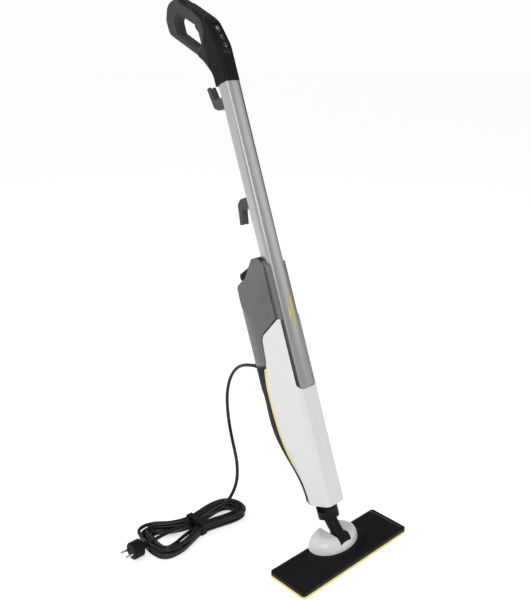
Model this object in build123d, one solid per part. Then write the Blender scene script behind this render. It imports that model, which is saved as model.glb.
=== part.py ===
from build123d import *
import math
import os

# Upright steam mop with a cross head, all sizes in millimetres.
# Origin: centre of the sole on the floor, +Z up, long side of the head along X, front of the mop at -Y.
# The upright unit is drawn standing straight on the head's axle, then leaned back by LEAN.

# ---- overall ----
LEAN = 20.5            # how far the upright unit leans back, degrees
AXLE_H = 35.0          # head axle above the floor
CLR = 0.3              # clearance between fitted or moving pieces

# ---- head ----
HEAD_W = 314.0
HEAD_D = 95.0
HEAD_R = 7.0
PLATE_T = 5.5          # yellow rim
RIM_T = 7.0            # black rim above it
COVER_WALL = 2.2
DECK_H = 20.0          # middle of the black cover
SADDLE_A = 62.0        # half length of the saddle
SADDLE_B = 40.0        # half depth of the saddle
SADDLE_Y = 22.0        # middle of the saddle behind the axle
SADDLE_H = 46.5        # top of the saddle's lobes
SLOT_W = 31.0          # gap between the lobes
AXLE_D = 8.0
AXLE_L = 56.0
BOSS_R = 7.6            # bearing bosses round the axle
STEAM_HOLE_D = 2.4
PAD_T = 1.2
HEAD_SCREW_D = 4.0

# ---- neck ----
NECK_D = 26.0
NECK_BORE = 9.0
ROLL_T = 20.0          # swivel pin behind the axle
ROLL_S = 62.0          # and above it
ROLL_PIN_D = 8.0
COLLAR_D = 44.0
COLLAR_S0 = 47.0

# ---- tube ----
TUBE_HALF = 17.0
TUBE_FRONT = -10.5     # sharp front corners
TUBE_BULGE = 2.0
TUBE_BACK_C = 9.0      # centre of the round back
TUBE_WALL = 1.6
TUBE_S0 = 302.0
TUBE_S1 = 985.0

# ---- motor body ----
BODY_W = 45.0          # half width
BODY_R = 105.0         # rear face behind the axle
BODY_FRONT = -14.6
BODY_S0 = 78.0
SHELL_WALL = 2.4
SHELL_TOP = 470.0
REAR_TOP = 376.0
TRIM_W = 4.8
SEAM = 0.15            # gap between neighbouring shells
FOOT_SEAM = 0.7        # the same where white meets black, below the trim
SLOT_HALF = 26.4       # half width of the U slot in front of the tube
SLOT_S0 = 322.0
SLOT_R = 14.0
SPINE_TOP = 590.0
SPINE_HALF = 24.8
SPINE_FRONT = -8.0
SPINE_BACK = 31.0
SPINE_S0 = 292.0
SCREW_D = 3.6
SCREW_HEAD_D = 7.0
BADGE_S = 480.0
BADGE_L = 62.0

# ---- tank ----
TANK_S0 = 382.0
TANK_WALL = 2.4
TANK_T = 66.0          # middle of the tank's valve
VALVE_D = 20.0
LATCH_HALF = 15.0
LATCH_PIN_T = 61.0
LATCH_PIN_S = 582.0

# ---- handle ----
HAND_HALF = 18.4
HAND_S0 = 950.0
LOOP_HALF = 12.6
TRIG_HALF = 6.5
TRIG_PIN_T = 34.0
TRIG_PIN_S = 1091.0
PIN_D = 3.0
BUTTON_D = 11.0
BUTTON_TRAVEL = 1.2
HOOK_HIGH_S = 918.0
HOOK_LOW_S = 712.0

# ---- inside ----
BOILER = (46.0, 42.0, 84.0)
BOILER_T = 66.0
BOILER_S = 205.0
PUMP_D = 34.0
PUMP_L = 52.0
PUMP_S = 304.0
HOSE_D = 7.0
PCB_T = 1.6

# ---- cord ----
CORD_D = 7.6
CORD_EXIT_S = 366.0
CORD_PITCH = 14.0      # the cord guard points this far above the body's square, degrees
GUARD_L = 34.0
HANK_Z0 = 2.2
HANK_H = 25.0
HANK_R = 3.5
TIE_W = 12.0
TIE_T = 1.4
PLUG_D = 36.0
PLUG_L = 40.0
CORD_ROUTE = [
    (0, 292, 334.5),
    (0, 337, 302),
    (-1, 358, 247),
    (-4, 352, 186),
    (-9, 332, 134),
    (-17, 305, 90),
    (-38, 281, 57),
    (-72, 267, 34),
    (-104, 261, 31),
]


# ---------------------------------------------------------------- helpers
def outline(points, radii=0):
    """Closed face with straight sides and a tangent arc of its own radius at each corner."""
    count = len(points)
    if not isinstance(radii, (list, tuple)):
        radii = [radii] * count
    corners = []
    for i, point in enumerate(points):
        here = Vector(*point)
        to_last = (Vector(*points[i - 1]) - here).normalized()
        to_next = (Vector(*points[(i + 1) % count]) - here).normalized()
        half = math.acos(max(-1.0, min(1.0, to_last.dot(to_next)))) / 2
        if radii[i] <= 0:
            corners.append((here, None, here))
            continue
        reach = radii[i] / math.tan(half)
        inward = (to_last + to_next).normalized()
        middle = here + inward * (radii[i] / math.sin(half) - radii[i])
        corners.append((here + to_last * reach, middle, here + to_next * reach))
    edges = []
    for i, (first, middle, last) in enumerate(corners):
        if middle is not None:
            edges.append(ThreePointArc(first, middle, last))
        edges.append(Line(last, corners[(i + 1) % count][0]))
    return make_face(edges)


def side_prism(face, x0, x1):
    """Side-view outline (behind the axle, above the axle) pushed out across the mop."""
    return Pos(x0, 0, 0) * extrude(Plane.YZ * face, x1 - x0, dir=(1, 0, 0))


def plan_prism(face, s0, s1):
    return Pos(0, 0, s0) * extrude(face, s1 - s0, dir=(0, 0, 1))


def front_prism(face, t0, t1):
    """Front-view outline (across, above the axle) pushed back from t0 to t1."""
    flat = Plane(origin=(0, t0, 0), x_dir=(1, 0, 0), z_dir=(0, -1, 0)) * face
    return extrude(flat, t1 - t0, dir=(0, 1, 0))


def box(x0, x1, y0, y1, z0, z1):
    return Pos((x0 + x1) / 2, (y0 + y1) / 2, (z0 + z1) / 2) * Box(x1 - x0, y1 - y0, z1 - z0)


def rod(start, end, radius):
    """Round bar between two points."""
    direction = Vector(*end) - Vector(*start)
    place = Plane(origin=start, z_dir=direction)
    return place * Cylinder(radius, direction.length, align=(Align.CENTER, Align.CENTER, Align.MIN))


def ring(start, end, outer, inner):
    return rod(start, end, outer) - rod(start, end, inner)


def lean(part):
    return Pos(0, 0, AXLE_H) * (Rot(-LEAN, 0, 0) * part)


def hose(points, radius, outer, inner=0):
    """Bent pipe along straight runs with rounded bends."""
    path = FilletPolyline(*points, radius=radius)
    place = Plane(origin=path @ 0, z_dir=path % 0)
    solid = sweep(place * Circle(outer), path)
    if inner > 0:
        solid -= sweep(place * Circle(inner), path)
    return solid


# ---------------------------------------------------------------- head
def head_outline(inset):
    return RectangleRounded(HEAD_W - 2 * inset, HEAD_D - 2 * inset, max(HEAD_R - inset, 1))


def base_plate():
    plate = plan_prism(head_outline(0), 0, PLATE_T)
    plate -= plan_prism(head_outline(3), 2.4, PLATE_T)
    rib = plan_prism(head_outline(12) - head_outline(14), 2.4, PLATE_T + 1.5)
    for x, y in head_screw_places():
        rib -= rod((x, y, PLATE_T - 0.5), (x, y, 20), 4.2 + CLR)
    plate += rib
    for y in (-31, 31):
        plate -= box(-138, 138, y - 9, y + 9, -1, PAD_T + 0.1)
    for i in range(-6, 6):
        plate -= Pos(10 + i * 20, 0, 0) * Cylinder(STEAM_HOLE_D / 2, 20)
    for x, y in head_screw_places():
        plate += Pos(x, y, 1) * Cylinder(4.4, PLATE_T - 1, align=(Align.CENTER, Align.CENTER, Align.MIN))
        plate -= Pos(x, y, 0) * Cylinder(HEAD_SCREW_D / 2 + 0.1, 30)
        plate -= Pos(x, y, -1) * Cylinder(3.6, 3.4, align=(Align.CENTER, Align.CENTER, Align.MIN))
    return plate


def head_screw_places():
    return [(x, y) for x in (-146, 146) for y in (-14, 14)] + [(-60, 16), (60, 16)]


def head_screws():
    screws = []
    for x, y in head_screw_places():
        head = Pos(x, y, 0.7) * Cylinder(3.4, 1.6, align=(Align.CENTER, Align.CENTER, Align.MIN))
        shank = rod((x, y, 2.2), (x, y, 9.7), HEAD_SCREW_D / 2)
        screws.append(head + shank)
    return screws


def pad_strips():
    return [box(-137, 137, y - 8.5, y + 8.5, 0.1, PAD_T) for y in (-31, 31)]


def cover_block(inset):
    """Bevelled slab that rises to a low dome in the middle."""
    low = PLATE_T + CLR
    slab = plan_prism(head_outline(0.6 + inset), low, low + RIM_T - inset)
    half_w = HEAD_W / 2 - 14 - inset
    half_d = HEAD_D / 2 - 5 - inset
    wide = Pos(0, 0, low + RIM_T - inset - 0.01) * RectangleRounded(2 * half_w + 16, 2 * half_d + 8, 5)
    top = Pos(0, 0, low + RIM_T + 3 - inset) * RectangleRounded(2 * half_w, 2 * half_d, 4)
    slab += loft([wide.faces()[0], top.faces()[0]])
    foot = Pos(0, 2, low + RIM_T - 1 - inset) * Ellipse(SADDLE_A + 34 - inset, HEAD_D / 2 - 4 - inset)
    deck = Pos(0, 9.5, DECK_H - inset) * Ellipse(SADDLE_A + 2 - inset, 35.5 - inset)
    slab += loft([foot.faces()[0], deck.faces()[0]])
    return slab


def head_cover():
    cover = cover_block(0)
    cover -= cover_block(COVER_WALL) & box(-200, 200, -100, 100, 0, DECK_H - COVER_WALL)
    cover -= plan_prism(head_outline(3.2), 0, PLATE_T + 1.9)
    for x, y in head_screw_places():
        cover += rod((x, y, PLATE_T + CLR), (x, y, 40), 4.2) & cover_block(0)
        cover -= rod((x, y, 0), (x, y, 10.2), HEAD_SCREW_D / 2 + 0.1)
    for side in (-1, 1):
        inner = SLOT_W / 2 + 2.6
        block = box(inner, inner + 9, -BOSS_R, BOSS_R, DECK_H - 4, AXLE_H)
        block += rod((inner, 0, AXLE_H), (inner + 9, 0, AXLE_H), BOSS_R)
        block -= rod((0, 0, AXLE_H), (80, 0, AXLE_H), AXLE_D / 2 + 2.2)
        cover += block if side > 0 else mirror(block, Plane.YZ)
    cover -= Pos(0, -8, DECK_H) * Cylinder(5.2, 12)
    return cover


def axle_bushes():
    inner = SLOT_W / 2 + 2.6
    bushes = []
    for side in (-1, 1):
        start, end = side * (inner + 0.2), side * (inner + 8.8)
        bushes.append(ring((start, 0, AXLE_H), (end, 0, AXLE_H), AXLE_D / 2 + 2.05, AXLE_D / 2 + 0.15))
    return bushes


def head_axle():
    return rod((-AXLE_L / 2, 0, AXLE_H), (AXLE_L / 2, 0, AXLE_H), AXLE_D / 2)


def saddle_cover():
    """Broad saddle with two lobes, cut off at the head's back edge, and a slot for the neck."""
    low = DECK_H + 0.25
    levels = [(low, 0, 0), (29, 2.5, 1.5), (37, 7, 4.5), (43, 15, 9), (SADDLE_H, 24, 16)]
    rings = [(Pos(0, SADDLE_Y, z) * Ellipse(SADDLE_A - a, SADDLE_B - b)).faces()[0] for z, a, b in levels]
    dome = loft(rings) & box(-90, 90, -60, HEAD_D / 2 - 1.5, 0, 90)
    inner = SLOT_W / 2 + 2.6
    dome -= box(-SLOT_W / 2, SLOT_W / 2, -NECK_D / 2 - 0.6, 80, DECK_H - 2, 90)
    for side in (-1, 1):
        lo, hi = sorted((side * (inner - 0.3), side * (inner + 9.4)))
        dome -= box(lo, hi, -BOSS_R - CLR, BOSS_R + CLR, DECK_H - 1, AXLE_H)
        dome -= rod((lo, 0, AXLE_H), (hi, 0, AXLE_H), BOSS_R + CLR)
        dome -= rod((side * (inner - 3), 0, AXLE_H), (side * (inner + 13), 0, AXLE_H), AXLE_D / 2 + 0.3)
    return dome


def steam_distributor():
    """Channel that spreads the steam over the row of outlets."""
    body = box(-126, 126, -5.5, 5.5, 2.6, 6.6)
    body -= box(-124.5, 124.5, -4, 4, 2.0, 5.2)
    body += Pos(0, -8 + 4, 6.6) * Box(12, 12, 3, align=(Align.CENTER, Align.CENTER, Align.MIN))
    body -= Pos(0, -4, 4) * Cylinder(2, 12)
    return body


def head_seal():
    return plan_prism(head_outline(3.6) - head_outline(5.4), 2.6, PLATE_T + 2.3)


# ---------------------------------------------------------------- neck
def neck_knuckle():
    """Bent neck: a barrel on the head's axle and an eye on the swivel pin."""
    r = NECK_D / 2
    bend = (0, ROLL_T, ROLL_S - 15)
    neck = rod((0, 0, 0), bend, r) + Pos(*bend) * Sphere(r)
    neck += rod(bend, (0, ROLL_T, ROLL_S - 6), r)
    neck += rod((-SLOT_W / 2 + 1, 0, 0), (SLOT_W / 2 - 1, 0, 0), r)
    neck += rod((0, ROLL_T - r, ROLL_S), (0, ROLL_T + r, ROLL_S), r - 0.4)
    skirt = rod((0, ROLL_T, COLLAR_S0), (0, ROLL_T, ROLL_S + 0.5), COLLAR_D / 2 - 0.2)
    neck += skirt & box(-40, 40, ROLL_T - r + 0.1, ROLL_T + r - 0.1, 0, 100)
    neck -= rod((-40, 0, 0), (40, 0, 0), AXLE_D / 2 + 0.15)
    neck -= rod((0, ROLL_T - 40, ROLL_S), (0, ROLL_T + 40, ROLL_S), ROLL_PIN_D / 2 + 0.15)
    for share in (0.30, 0.38, 0.46, 0.54):
        at = Vector(*bend) * share
        band = Plane(origin=at, z_dir=Vector(*bend)) * (Cylinder(r + 1, 1.6) - Cylinder(r - 0.9, 1.6))
        neck -= band
    return neck


def swivel_pin():
    r = COLLAR_D / 2 - 1.2
    return rod((0, ROLL_T - r, ROLL_S), (0, ROLL_T + r, ROLL_S), ROLL_PIN_D / 2)


def collar():
    """Forked socket under the body; the neck swings sideways between its cheeks."""
    r = COLLAR_D / 2
    body = rod((0, ROLL_T, COLLAR_S0), (0, ROLL_T, BODY_S0 + 16), r)
    body -= box(-40, 40, ROLL_T - NECK_D / 2 - CLR, ROLL_T + NECK_D / 2 + CLR, 0, ROLL_S + NECK_D / 2 + 0.8)
    for swing in range(-36, 37, 12):
        turn = Pos(0, ROLL_T, ROLL_S) * Rot(0, swing, 0) * Pos(0, -ROLL_T, -ROLL_S)
        body -= turn * rod((0, 0, 0), (0, ROLL_T, ROLL_S - 15), NECK_D / 2 + 0.8)
    body -= rod((0, ROLL_T - 40, ROLL_S), (0, ROLL_T + 40, ROLL_S), ROLL_PIN_D / 2 + 0.1)
    flange = rod((0, ROLL_T, BODY_S0 + SHELL_WALL + 0.3), (0, ROLL_T, BODY_S0 + SHELL_WALL + 5), r + 1.6)
    body += flange
    body -= rod((0, ROLL_T, ROLL_S), (0, ROLL_T, BODY_S0 + 40), 7)
    return body


# ---------------------------------------------------------------- tube and its fittings
def tube_face(grow=0.0):
    """D section: flat, slightly bulged front with sharp corners and a round back."""
    half = TUBE_HALF + grow
    front = TUBE_FRONT - grow
    back = TUBE_BACK_C
    edges = [
        ThreePointArc((-half, front), (0, front - TUBE_BULGE), (half, front)),
        Line((half, front), (half, back)),
        ThreePointArc((half, back), (0, back + half), (-half, back)),
        Line((-half, back), (-half, front)),
    ]
    return make_face(edges)


def tube():
    solid = plan_prism(tube_face(), TUBE_S0, TUBE_S1) - plan_prism(tube_face(-TUBE_WALL), 0, TUBE_S1 + 5)
    for s in (HOOK_HIGH_S, HOOK_LOW_S):
        solid -= rod((0, 20, s), (0, 40, s), SCREW_D / 2 + 0.1)
    return solid


def tube_back():
    return TUBE_BACK_C + TUBE_HALF


def hook_pad(s):
    """Saddle that gives the hook a flat seat on the tube's round back."""
    pad = rod((0, 14, s), (0, tube_back() + 3, s), 12)
    pad -= plan_prism(tube_face(0.05), 0, 1200)
    pad -= rod((0, 0, s), (0, 60, s), SCREW_D / 2 + 0.1)
    return pad


def hook(s, up):
    """Two-pronged cord hook; its prongs point up or down."""
    seat = tube_back() + 3
    sign = 1 if up else -1
    base = rod((0, seat + 0.25, s), (0, seat + 5, s), 11)
    arm_face = outline([
        (seat + 0.25, s - 11 * sign),
        (seat + 16, s - 11 * sign),
        (seat + 27.5, s - 3 * sign),
        (seat + 35.5, s + 39 * sign),
        (seat + 27, s + 41 * sign),
        (seat + 20, s + 12 * sign),
        (seat + 0.25, s + 10 * sign),
    ], [0, 5, 7, 2, 2, 5, 0])
    arm = side_prism(arm_face, -8.2, 8.2)
    arm -= side_prism(outline([
        (seat + 12, s - 30 * sign),
        (seat + 60, s - 30 * sign),
        (seat + 60, s + 60 * sign),
        (seat + 12, s + 60 * sign),
    ]), -3.4, 3.4) & front_prism(outline([
        (-9, s + 14 * sign), (9, s + 14 * sign), (9, s + 70 * sign), (-9, s + 70 * sign),
    ]), 0, 100)
    solid = base + arm
    solid -= rod((0, 0, s), (0, seat + 60, s), SCREW_D / 2 + 0.15)
    solid -= rod((0, seat + 3.4, s), (0, seat + 60, s), SCREW_HEAD_D / 2 + 0.2)
    return solid


def hook_screws():
    seat = tube_back() + 3
    screws = []
    for s in (HOOK_HIGH_S, HOOK_LOW_S):
        shank = rod((0, tube_back() - 6, s), (0, seat + 3.7, s), SCREW_D / 2)
        head = rod((0, seat + 3.5, s), (0, seat + 5.6, s), SCREW_HEAD_D / 2)
        screws.append(shank + head)
    return screws


def badge():
    """Plain accent strip with a drop, on the front of the tube."""
    t = TUBE_FRONT - TUBE_BULGE
    strip = front_prism(outline([(5.2, BADGE_S - BADGE_L / 2), (9.4, BADGE_S - BADGE_L / 2),
                                 (9.4, BADGE_S + BADGE_L / 2), (5.2, BADGE_S + BADGE_L / 2)], 1.2), t - 4, 0)
    drop = front_prism(outline([(-6, BADGE_S - 12), (1.2, BADGE_S - 12), (-2.4, BADGE_S + 12)],
                               [2.4, 2.4, 0.6]), t - 4, 0)
    skin = plan_prism(tube_face(0.75) - tube_face(0.05), BADGE_S - BADGE_L, BADGE_S + BADGE_L)
    return [strip & skin, drop & skin]


# ---------------------------------------------------------------- body shells
FOOT_PROFILE = [(BODY_S0, 0.58, 0.575), (BODY_S0 + 9, 0.655, 0.622)]
BODY_PROFILE = [  # height, share of the half width, share of the depth
    FOOT_PROFILE[-1],
    (125.0, 0.71, 0.650),
    (172.0, 0.855, 0.775),
    (220.0, 0.97, 0.925),
    (275.0, 1.0, 0.985),
    (330.0, 1.0, 1.0),
]


def plan_face(w_share, r_share, inset):
    """Plan section of the body: narrow flat front, slanted cheeks, boxy round rear."""
    w = BODY_W * w_share
    depth = (BODY_R - BODY_FRONT) * r_share
    front = BODY_FRONT + inset
    rear = BODY_FRONT + depth
    k = w_share
    side = [
        (19.5 - 0.55 * inset, front),
        (min(27.0, w - 1.2) - 0.9 * inset, BODY_FRONT + 7.4 + 0.42 * inset),
        (w - inset, BODY_FRONT + 0.62 * depth),
        (0.9 * w - 0.92 * inset, rear - 0.16 * depth - 0.4 * inset),
        (0.5 * w - 0.4 * inset, rear - inset),
    ]
    radii = [3.5, 7.0, 40.0 * k, 22.0 * k, 22.0 * k]
    return outline(side + [(-x, y) for x, y in reversed(side)], radii + radii[::-1])


def body_block(inset, s_low, s_high):
    """The body's outer form, or its inside when inset."""
    foot = [Pos(0, 0, s) * plan_face(w, r, inset) for s, w, r in FOOT_PROFILE]
    rising = [Pos(0, 0, s) * plan_face(w, r, inset) for s, w, r in BODY_PROFILE]
    high = Pos(0, 0, BODY_PROFILE[-1][0]) * extrude(plan_face(1, 1, inset), 300, dir=(0, 0, 1))
    return (loft(foot, ruled=True) + loft(rising) + high) & box(-90, 90, -60, 160, s_low, s_high)


def parting(shift, foot_shift):
    """Side-view line where the white front shell ends, moved back by shift above its lower end."""
    return [
        (37 + foot_shift, 60),
        (39 + foot_shift, 112),
        (41 + foot_shift, 140),
        (45.5 + shift, 168),
        (52 + shift, 203),
        (57.5 + shift, 262),
        (59.5 + shift, 315),
        (51.5 + shift, 375),
    ]


def front_region(grow=0.0):
    """Everything in front of the seam, up to the shell's sloping shoulders."""
    points = parting(grow, grow)
    low, high = points[0], points[-1]
    rest = Polyline(high, (high[0] - 4, 392), (high[0] - 7.5, 434), (high[0] - 13, 444), (-1, SHELL_TOP),
                    (-60, SHELL_TOP), (-60, low[1]), low)
    return side_prism(make_face([Spline(*points), rest]), -90, 90)


def rear_region(grow=0.0):
    """Everything behind the seam and the trim."""
    points = parting(TRIM_W + SEAM - grow, FOOT_SEAM - grow)
    low, high = points[0], points[-1]
    rest = Polyline(high, (high[0], REAR_TOP + 1), (160, REAR_TOP + 1), (160, low[1]), low)
    return side_prism(make_face([Spline(*points), rest]), -90, 90)


def slot_face(grow):
    half = SLOT_HALF + grow
    low = SLOT_S0 - grow
    return outline([(-half, low), (half, low), (half, 700), (-half, 700)], [SLOT_R + grow, SLOT_R + grow, 0, 0])


SHELL_SCREWS = [(-18, 122), (18, 122), (-34, 350), (34, 350)]


def front_shell():
    """White front half with the U slot and its channel walls."""
    outer = body_block(0, BODY_S0, SHELL_TOP)
    inner = body_block(SHELL_WALL, BODY_S0 + SHELL_WALL, SHELL_TOP + 5)
    shell = outer - inner
    channel = (front_prism(slot_face(SHELL_WALL), -40, 9) - front_prism(slot_face(0), -60, 20)) & outer
    shell += channel
    for x, s in SHELL_SCREWS:
        shell += rod((x, 6, s), (x, 36, s), 4.5) & inner
    shell &= front_region()
    shell -= front_prism(slot_face(0), -60, 9.5)
    for x, s in SHELL_SCREWS:
        if s > 200:
            shell += box(min(x, x * 1.2), max(x, x * 1.2), 8, 34, s - 6, s + 6) & inner
        else:
            shell += box(x - 1, x + 1, BODY_FRONT + 1, 34, s - 6, s + 4)
        shell -= rod((x, 10 if s < 200 else 24, s), (x, 60, s), SCREW_D / 2 + 0.1)
    shell -= plan_prism(tube_face(CLR), SPINE_S0 - 2, 700)
    hole = rod((0, ROLL_T, 60), (0, ROLL_T, BODY_S0 + 8), COLLAR_D / 2 + CLR)
    return shell - hole


def rear_cover():
    """Black rear half: carries the boiler, the pump and the tank's shelf."""
    outer = body_block(0, BODY_S0, REAR_TOP)
    inner = body_block(SHELL_WALL, BODY_S0 + SHELL_WALL, REAR_TOP - 3)
    shell = outer - inner
    for x, s in SHELL_SCREWS:
        shell += rod((x, 40, s), (x, 130, s), 4.8) & outer
    rear = BOILER_T + BOILER[1] / 2
    for x in (-14, 14):
        for s in (BOILER_S + 12, BOILER_S + BOILER[2] - 12):
            shell += rod((x, rear + 0.2, s), (x, 130, s), 4) & outer
        shell += rod((x * 0.7, BOILER_T + PUMP_D / 2 - 3, PUMP_S + 26), (x * 0.7, 130, PUMP_S + 26), 4) & outer
    shell &= rear_region()
    for x, s in SHELL_SCREWS:
        shell -= rod((x, 20, s), (x, 150, s), SCREW_D / 2 + 0.2)
        shell -= rod((x, screw_seat(s), s), (x, 150, s), SCREW_HEAD_D / 2 + 0.3)
    shell -= rod((0, TANK_T, REAR_TOP - 20), (0, TANK_T, REAR_TOP + 20), VALVE_D / 2 + 6)
    start, along = guard_axis()
    shell -= rod(tuple(start - along * 12), tuple(start + along * 12), CORD_D / 2 + 2.7)
    shell -= rod(tuple(start - along * 12), tuple(start - along * 1.7), CORD_D / 2 + 4.8)
    shell -= rod((0, TANK_T, 330), (0, TANK_T, REAR_TOP - 3.1), PUMP_D / 2 + 1) & box(-30, 30, 20, 120, 300, 350)
    hole = rod((0, ROLL_T, 60), (0, ROLL_T, BODY_S0 + 8), COLLAR_D / 2 + CLR)
    return shell - hole


def screw_seat(s):
    return 52 if s < 200 else 84


def shell_screws():
    screws = []
    for x, s in SHELL_SCREWS:
        seat = screw_seat(s)
        tip = 14 if s < 200 else 24.5
        screws.append(rod((x, tip, s), (x, seat + 1, s), SCREW_D / 2) +
                      rod((x, seat + 0.1, s), (x, seat + 2.6, s), SCREW_HEAD_D / 2))
    return screws


def trim_band():
    band = body_block(-0.25, 120, REAR_TOP - 1.5) - body_block(SHELL_WALL, 60, REAR_TOP + 5)
    band = band - front_region(SEAM) - rear_region(SEAM)
    sides = sorted(band.solids(), key=lambda solid: -solid.volume)[:2]
    return sides


def spine():
    """Carrier behind the tube: flanges beside it above the shell, a closed foot below."""
    low = box(-24, 24, 10.0, SPINE_BACK, SPINE_S0, SHELL_TOP + 2)
    high = box(-SPINE_HALF, SPINE_HALF, SPINE_FRONT, SPINE_BACK, SHELL_TOP + 0.6, SPINE_TOP)
    high = fillet(high.edges().filter_by(Axis.Z), 2.0)
    cap_cut = side_prism(outline([(-20, SPINE_TOP - 12), (SPINE_FRONT, SPINE_TOP - 12), (10, SPINE_TOP + 2),
                                  (-20, SPINE_TOP + 2)]), -60, 60)
    foot = box(-17.2, 17.2, BODY_FRONT + SHELL_WALL + 0.4, SPINE_BACK, SPINE_S0, TUBE_S0 - 1)
    body = low + (high - cap_cut) + foot
    body -= plan_prism(tube_face(0.1), TUBE_S0 - 0.1, 700)
    return body


# ---------------------------------------------------------------- tank
def tank_side(inset):
    """Side outline of the tank: sloping top, front edge along the shell."""
    return outline([
        (49.8 + inset, TANK_S0 + inset),
        (46.4 + inset, 434.5),
        (40.0 + inset, 446.6),
        (2.5 + inset, 472.2 + inset),
        (2.5 + inset, 584 - inset),
        (20 + 0.4 * inset, 600 - inset),
        (35 - 0.4 * inset, 600 - inset),
        (66 - 0.5 * inset, 564.5 - inset),
        (92 - inset, 553.5 - inset),
        (101.5 - inset, 536 - inset),
        (104.5 - inset, 500),
        (120 - inset, 480),
        (120 - inset, TANK_S0 + inset),
    ], [1, 4, 4, 2, 3, 6, 8, 10, 8, 20, 0, 0, 1])


def tank_front(inset):
    """The tank seen from behind: it narrows towards its top."""
    side = [(BODY_W + 1 - inset, TANK_S0 - 5), (BODY_W + 1 - inset, 474), (40.5 - inset, 506), (33 - inset, 538),
            (28.5 - inset, 560), (26.5 - inset, 610)]
    return outline(side + [(-x, s) for x, s in reversed(side)], [0, 40, 50, 40, 30, 0, 0, 30, 40, 50, 40, 0])


def tank_block(inset):
    block = body_block(0.15 + inset, TANK_S0 + inset, 620) & side_prism(tank_side(inset), -90, 90)
    block &= front_prism(tank_front(inset), -40, 140)
    half = SPINE_HALF + 0.6 + inset
    block -= box(-half, half, -60, SPINE_BACK + 0.8 + inset, 300, 700)
    return block


def tank():
    """Clear grey water tank that wraps the back of the spine."""
    solid = tank_block(0) - tank_block(TANK_WALL)
    solid += ring((0, TANK_T, TANK_S0), (0, TANK_T, TANK_S0 + 9), VALVE_D / 2 + 2, VALVE_D / 2)
    solid -= rod((0, TANK_T, TANK_S0 - 5), (0, TANK_T, TANK_S0 + 12), VALVE_D / 2)
    lug = side_prism(outline([(LATCH_PIN_T - 10, 570), (LATCH_PIN_T + 8, 562), (LATCH_PIN_T + 4, LATCH_PIN_S + 3.5),
                              (LATCH_PIN_T - 4, LATCH_PIN_S + 3.5)], [0, 0, 3, 3]), -4, 4)
    solid += lug - tank_block(0.5)
    solid -= rod((-30, LATCH_PIN_T, LATCH_PIN_S), (30, LATCH_PIN_T, LATCH_PIN_S), PIN_D / 2 + 0.12)
    return solid


def tank_valve():
    """Screw-in valve cap that closes the tank's foot."""
    r = VALVE_D / 2
    cap = rod((0, TANK_T, TANK_S0 - 3), (0, TANK_T, TANK_S0 - 0.1), r + 3.5)
    cap += rod((0, TANK_T, TANK_S0 - 3), (0, TANK_T, TANK_S0 + 8), r - 0.15)
    cap += rod((0, TANK_T, TANK_S0 - 15), (0, TANK_T, TANK_S0 - 2), 6.2)
    cap -= rod((0, TANK_T, TANK_S0 - 20), (0, TANK_T, TANK_S0 + 10), 2.2)
    cap -= Pos(0, TANK_T, TANK_S0 - 10) * Torus(6.6, 1.3)
    return cap


def valve_seal():
    return Pos(0, TANK_T, TANK_S0 - 10) * Torus(6.6, 1.2)


def tank_socket():
    """Cup in the rear cover that the valve plugs into."""
    base = TANK_S0 - 24
    cup = rod((0, TANK_T, base), (0, TANK_T, REAR_TOP - 0.5), 11.5)
    cup -= rod((0, TANK_T, base + 4), (0, TANK_T, REAR_TOP + 5), 8.2)
    cup += ring((0, TANK_T, REAR_TOP - 4), (0, TANK_T, REAR_TOP - 0.5), VALVE_D / 2 + 5.9, 8.2)
    cup += ring((0, TANK_T, base - 8), (0, TANK_T, base + 1), 3.2, 1.8)
    cup -= rod((0, TANK_T, base - 9), (0, TANK_T, base + 6), 1.8)
    return cup


def tank_latch():
    """Lever on top of the tank; it swings up about its front pin."""
    profile = outline([(LATCH_PIN_T - 4.5, LATCH_PIN_S - 3), (LATCH_PIN_T - 4.5, LATCH_PIN_S + 4.5),
                       (LATCH_PIN_T + 35, LATCH_PIN_S - 8), (LATCH_PIN_T + 37, LATCH_PIN_S - 19),
                       (LATCH_PIN_T + 31, LATCH_PIN_S - 23), (LATCH_PIN_T + 20, LATCH_PIN_S - 20),
                       (LATCH_PIN_T + 18, LATCH_PIN_S - 12)], [3, 4, 4, 3, 3, 3, 3])
    lever = side_prism(profile, -LATCH_HALF, LATCH_HALF)
    lever -= box(-4.4, 4.4, LATCH_PIN_T - 8, LATCH_PIN_T + 9, 560, 600)
    lever -= rod((-30, LATCH_PIN_T, LATCH_PIN_S), (30, LATCH_PIN_T, LATCH_PIN_S), PIN_D / 2 + 0.12)
    return lever


def latch_pin():
    return rod((-LATCH_HALF + 1, LATCH_PIN_T, LATCH_PIN_S), (LATCH_HALF - 1, LATCH_PIN_T, LATCH_PIN_S), PIN_D / 2)


# ---------------------------------------------------------------- works inside the body
def boiler():
    w, d, h = BOILER
    block = box(-w / 2, w / 2, BOILER_T - d / 2, BOILER_T + d / 2, BOILER_S, BOILER_S + h)
    block = fillet(block.edges().filter_by(Axis.Z), 8)
    for i in range(5):
        s = BOILER_S + 14 + i * 14
        block += box(-w / 2 - 2, w / 2 + 2, BOILER_T - d / 2 + 8, BOILER_T + d / 2 - 8, s, s + 3)
    block += rod((0, BOILER_T, BOILER_S + h - 1), (0, BOILER_T, BOILER_S + h + 7), 3)
    block += rod((0, BOILER_T - 6, BOILER_S - 7), (0, BOILER_T - 6, BOILER_S + 1), 3)
    return block


def thermostats():
    w, d, h = BOILER
    front = BOILER_T - d / 2
    parts = []
    for s in (BOILER_S + 24, BOILER_S + 58):
        can = rod((0, front - 0.1, s), (0, front - 8, s), 7)
        parts.append(can + box(-9, 9, front - 3.2, front - 1.2, s - 2, s + 2))
    return parts


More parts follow.
